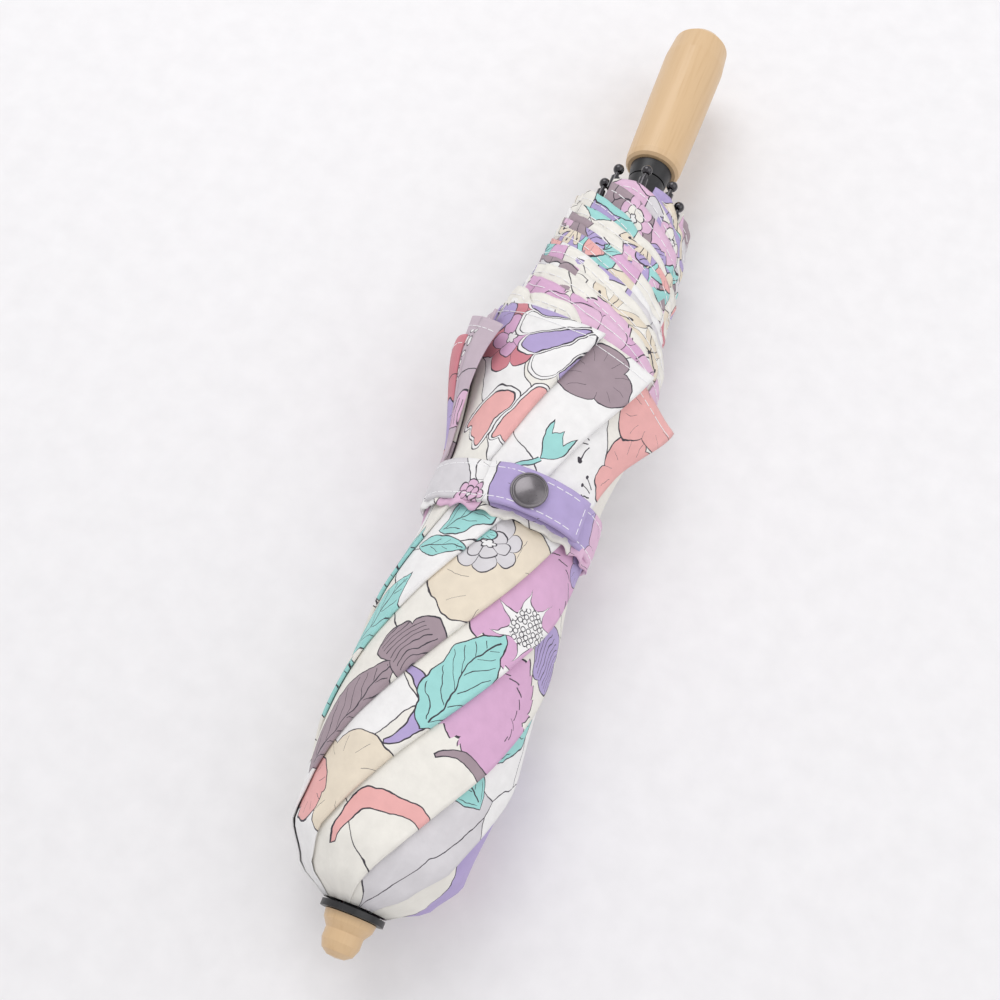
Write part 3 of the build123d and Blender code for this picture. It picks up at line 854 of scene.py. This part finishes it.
@dataclass
class Pleat:
    """One folded panel of the canopy, rolled round the bundle with its fold outside."""

    name: str
    edge: float
    corner: float
    finish: str
    tip_finish: str
    lead: float = 0.87
    flare: float = 5.5
    lag: float = 1.2
    strap_at: float = 139.0
    hem_reach: float = 400.0
    hem_end: float = 261.0
    leaf_reach: float = 86.0
    under: float = 9.0
    roll: float = 0.8
    band: float = 24.0
    inner_shift: float = 4.6
    tip_from: float = 205.0

    def edge_at(self, station: float) -> float:
        """Azimuth of the pleat's outer fold at a station."""
        away = station - self.strap_at
        return self.edge + (self.lead if away > 0 else self.lag) * away

    def hem_at(self, behind: float) -> float:
        """Station of the hem, some degrees behind the corner."""
        return self.corner + (self.hem_end - self.corner) * (max(behind, 0) / self.hem_reach) ** 1.3

    def depth(self, behind: float, station: float) -> float:
        """Height of the cloth over the outline, some degrees behind the fold."""
        inward = -1.5 * (max(behind, 0) / 45) ** 0.75
        stand = self.flare * math.exp(-max(behind, 0) / 13)
        stand *= ease((station - 160) / (self.corner - 158))
        return inward + stand

    def on_leaf(self, roll: Roll) -> Surface:
        """The outer part of the pleat, folded under along its outer edge."""
        wide = self.leaf_reach * CUT_PER_DEGREE

        def surface(a: float, b: float) -> tuple[Vector, tuple[float, float]]:
            """Bends the leaf."""
            run = mix(-self.under, wide, a)
            behind = max(abs(run) - self.roll, 0) / CUT_PER_DEGREE
            hem = self.hem_at(behind if run > 0 else behind * 0.4)
            station = mix(CLOTH_START, hem, b ** LEAF_SPACING)
            turn = math.pi * min(max((self.roll - run) / (2 * self.roll), 0), 1)
            tip = math.sin(turn) * 0.9 / CUT_PER_DEGREE
            thick = 0.5 * (1 - math.cos(turn)) * min(1.0, station / 60)
            azimuth = self.edge_at(station) - behind + tip
            lift = self.depth(behind, station) - thick
            return roll.point(azimuth, station, lift), (azimuth * CUT_PER_DEGREE, station)

        return surface

    def on_band(self, roll: Roll, inner: bool = False) -> Surface:
        """The strip along the hem that runs on round the roll towards the tip.

        Args:
            roll: The bundle.
            inner: Whether it is the pleat's inner half, whose hem shows a little beyond.

        Returns:
            The strip's surface.
        """
        beyond, below = (self.inner_shift, 0.35) if inner else (0.0, 0.0)

        def surface(a: float, b: float) -> tuple[Vector, tuple[float, float]]:
            """Bends the strip."""
            behind = mix(self.leaf_reach - self.roll / CUT_PER_DEGREE, self.hem_reach, a)
            out = beyond * ease((behind - self.leaf_reach) / 20)
            out *= 1 + 0.35 * math.sin(behind / 23 + self.edge)
            hem = min(self.hem_at(behind) + out, self.hem_end + 1.5)
            station = hem - self.band * (1 - b)
            azimuth = self.edge_at(self.corner) - behind + (station - hem) * 0.3
            wave = 0.9 * noise.noise(Vector((azimuth / 13, station / 7, self.edge)))
            wave *= ease((behind - 60) / 60)
            lip = 0.5 * ease((b - 0.75) * 4) * ease((behind - 120) / 60)
            lift = self.depth(behind, station) + wave + lip - below
            turn = INNER_TURN if inner else 0
            return roll.point(azimuth, station, lift), ((azimuth + turn) * CUT_PER_DEGREE, station)

        return surface

    def build(self, roll: Roll) -> bpy.types.Object:
        """Builds the pleat as a thickened sheet, with its main print and its tip's print."""
        bm = new_cloth_mesh()
        leaf = patch(bm, 46, 96, self.on_leaf(roll))
        leaf_faces = set(bm.faces)
        band = patch(bm, 190, 14, self.on_band(roll))
        band_faces = set(bm.faces) - leaf_faces
        inner = patch(bm, 190, 14, self.on_band(roll, inner=True))
        inner_faces = set(bm.faces) - leaf_faces - band_faces
        layer = bm.loops.layers.uv["Cut"]
        corner = self.edge_at(self.corner)
        halves = ((band_faces, 0), (inner_faces, INNER_TURN))
        for face, turn in [(f, t) for faces, t in halves for f in faces]:
            behind = corner + turn - face.loops[0][layer].uv.x / MM / CUT_PER_DEGREE
            face.material_index = int(behind > self.tip_from)
        made = piece(self.name, bm, PRINTS[self.finish].material(), STEM)
        made.data.materials.append(PRINTS[self.tip_finish].material())
        thicken(made, 0.22)
        area = leaf[0] + band[0] + inner[0]
        area / leaf[2]
        return made

    def stitches(self, roll: Roll, bm: bmesh.types.BMesh, inset: float = 3.2) -> None:
        """Sews the row of stitches along the hem."""
        leaf, band, inner = self.on_leaf(roll), self.on_band(roll), self.on_band(roll, inner=True)

        def place(behind: float) -> Vector:
            """A place on the hem's stitch line."""
            if behind < self.leaf_reach - 2:
                whole = self.under + self.leaf_reach * CUT_PER_DEGREE
                share = (self.under + self.roll + behind * CUT_PER_DEGREE) / whole
                hem = self.hem_at(behind)
                down = (hem - inset - CLOTH_START) / (hem - CLOTH_START)
                return leaf(share, down ** (1 / LEAF_SPACING))[0]
            share = (behind - self.leaf_reach + 2) / (self.hem_reach - self.leaf_reach + 2)
            return band(share, 1 - inset / self.band)[0]

        steps = int(self.hem_reach * CUT_PER_DEGREE / 0.8)
        sew(bm, [place(1.5 + i * (self.hem_reach - 3) / steps) for i in range(steps)])
        sew(bm, [inner(0.05 + 0.94 * i / steps, 1 - inset / self.band)[0] for i in range(steps)])


def sew(
    bm: bmesh.types.BMesh, line: Sequence[Vector], long: float = 2.3, gap: float = 0.75,
    thick: float = 0.3,
) -> None:
    """Puts thread stitches along a line.

    Args:
        bm: The mesh that takes them.
        line: Places along the seam, in metres.
        long: Length of a stitch, in millimetres.
        gap: Gap between stitches, in millimetres.
        thick: Thickness of the thread, in millimetres.
    """
    middle = Vector((0, 0, AXIS_HEIGHT * MM))
    run, start = 0.0, line[0]
    for a, b in zip(line, line[1:]):
        run += (b - a).length
        if run >= long * MM:
            way = b - start
            centre = (b + start) / 2
            out = Vector((centre.x, 0, centre.z - middle.z)).normalized()
            turn = way.to_track_quat("Z", "Y").to_matrix().to_4x4()
            size = Matrix.Diagonal((1, 1, max(way.length - 0.2 * MM, 0.5 * MM) / MM, 1))
            place = Matrix.Translation(centre + out * 0.22 * MM) @ turn @ size
            radius = thick * MM / 2
            bmesh.ops.create_cone(
                bm, cap_ends=True, segments=6, radius1=radius, radius2=radius, depth=MM,
                matrix=place,
            )
            run, start = -gap * MM, b
        elif run <= 0:
            start = b


@dataclass
class FoldTab:
    """The end of an inner pleat that stands out beside the roll, with its cut end."""

    name: str
    finish: str
    end: float
    azimuth: tuple[float, float]
    lift: tuple[float, float]
    width: tuple[float, float]
    slant: float = 0.0
    start: float = 146.0
    thick: float = 1.5

    def on_tab(self, roll: Roll) -> Surface:
        """A flattened sleeve of cloth that widens to its open end."""

        def surface(a: float, b: float) -> tuple[Vector, tuple[float, float]]:
            """Bends the sleeve."""
            grow = ease(b)
            wide = mix(*self.width, b)
            turn = 2 * math.pi * a
            station = mix(self.start, self.end, b) - self.slant * b * (0.5 + 0.5 * math.sin(turn))
            azimuth = mix(*self.azimuth, b) + math.sin(turn) * wide / 2 / CUT_PER_DEGREE
            lift = mix(*self.lift, grow) + math.cos(turn) * self.thick / 2 * (0.5 + b)
            return roll.point(azimuth, station, lift), (math.sin(turn) * wide / 2, station)

        return surface

    def build(self, roll: Roll) -> bpy.types.Object:
        """Builds the tab as a thickened sheet with its print."""
        bm = new_cloth_mesh()
        flat = patch(bm, 28, 40, self.on_tab(roll))
        made = piece(self.name, bm, PRINTS[self.finish].material(), STEM)
        thicken(made, 0.3)
        flat[0] / flat[2]
        return made

    def stitches(self, roll: Roll, bm: bmesh.types.BMesh) -> None:
        """Sews the row across the tab near its end."""
        surface = self.on_tab(roll)
        sew(bm, [surface(0.75 + i / 160, 0.93)[0] for i in range(80)])


@dataclass
class Strap:
    """The closing strap: its band, its overlapping end and the gathered edge under it."""

    at: float = 139.0
    width: float = 14.0
    half: tuple[float, float] = (26.5, 22.0)
    tail: tuple[float, float] = (-20.0, 49.0)
    hem: float = 1.9

    def ring(self, azimuth: float, station: float, lift: float) -> Vector:
        """A place over the cinched outline, in metres."""
        a = math.radians(azimuth)
        w, h = self.half
        out = Vector((math.sin(a) / w, math.cos(a) / h)).normalized()
        x = w * math.sin(a) + out.x * lift
        z = h * math.cos(a) + out.y * lift + AXIS_HEIGHT
        return Vector((x, station - TOTAL_LENGTH / 2, z)) * MM

    def on_band(self, a: float, b: float) -> tuple[Vector, tuple[float, float]]:
        """The band round the roll, puckered a little by its seams."""
        azimuth = mix(-178, 178, a)
        station = self.at + (b - 0.5) * self.width
        pucker = 0.25 * noise.noise(Vector((azimuth / 9, station / 3, 3)))
        lift = 0.9 + pucker + 0.35 * math.sin(math.pi * b)
        return self.ring(azimuth, station, lift), (azimuth * CUT_PER_DEGREE, station)

    def on_tail(self, a: float, b: float) -> tuple[Vector, tuple[float, float]]:
        """The end that laps over the band and carries the snap's cap."""
        azimuth = mix(*self.tail, a)
        station = self.at + (b - 0.5) * (self.width - 0.4)
        lift = mix(2.0, 4.1, ease((azimuth + 20) / 18)) - 1.1 * ease((azimuth - 24) / 34)
        lift += 0.2 * noise.noise(Vector((azimuth / 8, station / 4, 9)))
        return self.ring(azimuth, station, lift), (azimuth * CUT_PER_DEGREE, station)

    def on_frill(self, a: float, b: float) -> tuple[Vector, tuple[float, float]]:
        """The gathered raw edge that shows below the strap."""
        azimuth = mix(-82, 84, a)
        ragged = 1.2 * noise.noise(Vector((azimuth / 7, 0.5, 2)))
        station = mix(self.at - 9.4 + ragged, self.at + 2, b)
        rough = noise.noise(Vector((azimuth / 6, b * 2, 5)))
        wave = (1 - b) * (0.7 * math.sin(azimuth / 3.1) + 0.6 * rough)
        return self.ring(azimuth, station, 0.75 + wave), (azimuth * CUT_PER_DEGREE, station)

    def build(self) -> None:
        """Builds the strap's cloth pieces."""
        parts = (
            ("strap_band", STEM, 260, 12, self.on_band, "laid", "strap_wrap"),
            ("strap_lap", STRAP_END, 70, 12, self.on_tail, "laid", "strap_tail"),
            ("strap_frill", STEM, 240, 10, self.on_frill, "gathered", None),
        )
        plain, frilled = PRINTS["strap"].material(), PRINTS["frill"].material()
        for name, body, across, along, surface, held, node in parts:
            bm = new_cloth_mesh()
            flat = patch(bm, across, along, surface)
            strip = piece(name, bm, plain if node else frilled, body)
            thicken(strip, 0.9 if node else 0.3)
            flat[0] / flat[2]
            if node:
                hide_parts(node)
            gather(strip)

    def stitches(self, bm: bmesh.types.BMesh, lap: bmesh.types.BMesh) -> None:
        """Sews both edges of the band and of the lap."""
        edge = self.hem / self.width
        for b in (edge, 1 - edge):
            sew(bm, [self.on_band(i / 420, b)[0] + self.rise(i / 420) for i in range(420)])
            sew(lap, [
                self.on_tail(i / 110 * 0.96, b)[0] + self.rise(LAP_SHARE) for i in range(110)
            ])
        end = [self.on_tail(0.96, mix(edge, 1 - edge, i / 30))[0] for i in range(30)]
        sew(lap, [place + self.rise(LAP_SHARE) for place in end])

    def rise(self, a: float) -> Vector:
        """The half thickness that lifts a thread onto the strap's face, in metres.

        Args:
            a: Share of the way round the roll, or LAP_SHARE for the whole lap.
        """
        azimuth = math.radians(LAP_AZIMUTH if a == LAP_SHARE else mix(-178, 178, a))
        return Vector((math.sin(azimuth), 0, math.cos(azimuth))) * 0.25 * MM


@dataclass
class Snap:
    """The press stud: a domed cap with a rolled rim, its shank and the stud below."""

    x: float = 4.5
    at: float = 139.0
    radius: float = 5.75
    dome: float = 1.25
    rim: float = 0.42

    def turned(self, profile: Iterable[tuple[float, float]], low: float) -> bmesh.types.BMesh:
        """Spins a profile of (radius, height) points about the snap's own axis."""
        bm = bmesh.new()
        centre = Vector((self.x, self.at - TOTAL_LENGTH / 2, 0))
        verts = [bm.verts.new((centre + Vector((r, 0, low + h))) * MM) for r, h in profile]
        edges = [bm.edges.new(pair) for pair in zip(verts, verts[1:])]
        bmesh.ops.spin(
            bm, geom=verts + edges, cent=centre * MM, axis=(0, 0, 1), angle=2 * math.pi,
            steps=64, use_merge=True,
        )
        bmesh.ops.remove_doubles(bm, verts=bm.verts, dist=1e-6)
        bmesh.ops.recalc_face_normals(bm, faces=bm.faces)
        for face in bm.faces:
            face.smooth = True
        return bm

    def build(self, material: bpy.types.Material) -> None:
        """Builds the cap with its shank, and the stud."""
        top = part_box("snap_socket")[1].z / MM
        domed = self.radius - 1.2
        arc = [
            (domed - i * domed / 9, self.dome * math.sin(math.pi * (i + 3) / 24) ** 0.8)
            for i in range(10)
        ]
        bead = [
            (self.radius - self.rim + self.rim * math.sin(t), self.rim * math.cos(t))
            for t in (math.pi * k / 10 for k in range(10, -5, -1))
        ]
        shank = [(0.0, -1.2), (1.9, -1.2), (1.9, -0.5), (4.6, -0.45)]
        cap = self.turned(shank + bead + arc, top - self.dome * 0.9)
        made = piece("snap_cap", cap, material, STRAP_END)
        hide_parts("snap_socket")
        profile = [(0, 0), (4.2, 0), (4.4, 0.25), (2.0, 0.4), (1.7, 1.3), (1.4, 1.6), (0, 1.7)]
        stud = self.turned(profile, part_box("snap_stud")[0].z / MM)
        post = piece("snap_post", stud, material, STEM)
        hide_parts("snap_stud")
        for part in (made, post):
            gather(part)


@dataclass
class Cloth:
    """All the cloth of the canopy, with its hem stitching."""

    roll: Roll = field(default_factory=Roll)
    pleats: tuple[Pleat, ...] = (
        Pleat("pleat_1", 101, 190, "orchid", "tip_a", flare=2.0, lag=1.27),
        Pleat("pleat_2", 54, 188, "coral_bell", "tip_b", lead=0.82, flare=7.0),
        Pleat("pleat_3", 9, 195, "tulip", "tip_a", lead=0.8, flare=1.2),
        Pleat("pleat_4", -33, 199, "peony", "tip_b", lead=0.78, flare=1.0),
        Pleat("pleat_5", 276, 201, "mauve", "tip_a", lead=0.4, flare=2.0),
        Pleat("pleat_6", 230, 192, "red_petal", "tip_b", lead=0.8, flare=2.0),
        Pleat("pleat_7", 185, 190, "aqua_leaf", "tip_a", flare=1.5),
        Pleat("pleat_8", 143, 192, "lilies", "tip_b", flare=1.5),
    )
    tabs: tuple[FoldTab, ...] = (
        FoldTab("fold_tab_1", "tab_mauve", 198.5, (-80, -57), (0.8, 4.6), (3, 16), slant=7.0),
        FoldTab("fold_tab_2", "tab_red", 190.5, (-88, -80), (0.6, 5.6), (3, 13), slant=1.0),
    )

    def build(self) -> None:
        """Builds the pleats and tabs, and sews their hems."""
        made = [part.build(self.roll) for part in (*self.pleats, *self.tabs)]
        thread = bmesh.new()
        for part in (*self.pleats, *self.tabs):
            part.stitches(self.roll, thread)
        made.append(piece("hem_stitching", thread, THREAD.material(), STEM))
        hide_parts("canopy")
        for part in made:
            gather(part)


@dataclass
class Studio:
    """The pale table, the soft light and the camera."""

    target: tuple[float, float, float] = (-5.6, -29.0, 23.8)
    azimuth: float = 15.93
    elevation: float = 66.73
    distance: float = 407.3
    lens: float = 46.37
    tilt: float = 4.99

    def camera(self) -> None:
        """Places the camera from its direction, distance and tilt."""
        a, e, r = (math.radians(v) for v in (self.azimuth, self.elevation, self.tilt))
        back = Vector((math.sin(a) * math.cos(e), -math.cos(a) * math.cos(e), math.sin(e)))
        right = (-back).cross(Vector((0, 0, 1))).normalized()
        up = right.cross(-back)
        side = right * math.cos(r) + up * math.sin(r)
        top = up * math.cos(r) - right * math.sin(r)
        data = bpy.data.cameras.new("camera")
        data.lens, data.clip_start, data.clip_end = self.lens, 0.01, 20
        made = bpy.data.objects.new("camera", data)
        turn = Matrix((side, top, back)).transposed().to_4x4()
        place = (Vector(self.target) + back * self.distance) * MM
        made.matrix_world = Matrix.Translation(place) @ turn
        bpy.context.scene.collection.objects.link(made)
        bpy.context.scene.camera = made

    def lamp(self, name: str, place: tuple[float, float, float], size: float, power: float) -> None:
        """Adds one soft area light that faces the umbrella."""
        data = bpy.data.lights.new(name, "AREA")
        data.size, data.energy = size, power
        made = bpy.data.objects.new(name, data)
        turn = Vector(place).to_track_quat("Z", "Y").to_matrix().to_4x4()
        made.matrix_world = Matrix.Translation(place) @ turn
        bpy.context.scene.collection.objects.link(made)

    def build(self) -> None:
        """Sets up the table, the lights, the sky and the colour view."""
        bm = bmesh.new()
        bmesh.ops.create_grid(bm, x_segments=2, y_segments=2, size=3.0)
        mesh = bpy.data.meshes.new("table")
        bm.to_mesh(mesh)
        bm.free()
        mesh.materials.append(TABLE.material())
        table = bpy.data.objects.new("table", mesh)
        bpy.context.scene.collection.objects.link(table)
        self.lamp("window", (-0.45, 0.55, 0.95), 0.8, 4.6)
        self.lamp("fill", (0.8, 0.1, 0.9), 1.2, 3.4)
        world = bpy.data.worlds.new("sky")
        world.use_nodes = True
        sky = world.node_tree.nodes["Background"]
        sky.inputs["Color"].default_value = linear("F7F6F8")
        sky.inputs["Strength"].default_value = 0.78
        bpy.context.scene.world = world
        bpy.context.scene.view_settings.view_transform = "Standard"
        self.camera()


def dress_hardware(frame: dict) -> None:
    """Gives every CAD node that stays in view its finish.
    """
    made = {name: finish.material() for name, finish in NODE_FINISHES.items()}
    slots = {"handle": "wood", "ferrule": "wood"}
    slots |= {n: "steel" for n in ("notch_wire", "runner_wire", "catch", "catch_spring")}
    slots |= {n: "gunmetal" for n in ("snap_socket", "snap_stud")}
    slots |= {n: "black_plastic" for n in ("runner", "crown_notch", "crown_disc", "handle_collar")}
    for name, node in frame["nodes"].items():
        finish = "black_nickel" if name.startswith("rib_tip") else slots.get(name, "black_metal")
        for slot in node.material_slots:
            slot.material = made[finish]
        if not node.material_slots:
            node.data.materials.append(made[finish])


def main() -> None:
    """Builds the umbrella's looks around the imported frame."""
    logging.basicConfig(level=logging.INFO, format="%(name)s %(message)s")
    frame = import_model()
    dress_hardware(frame)
    Cloth().build()
    strap = Strap()
    strap.build()
    band, lap = bmesh.new(), bmesh.new()
    strap.stitches(band, lap)
    for name, bm, body in (("band_stitching", band, STEM), ("lap_stitching", lap, STRAP_END)):
        gather(piece(name, bm, THREAD.material(), body))
    Snap().build(GUNMETAL.material())
    Studio().build()


if __name__ == "__main__":
    main()
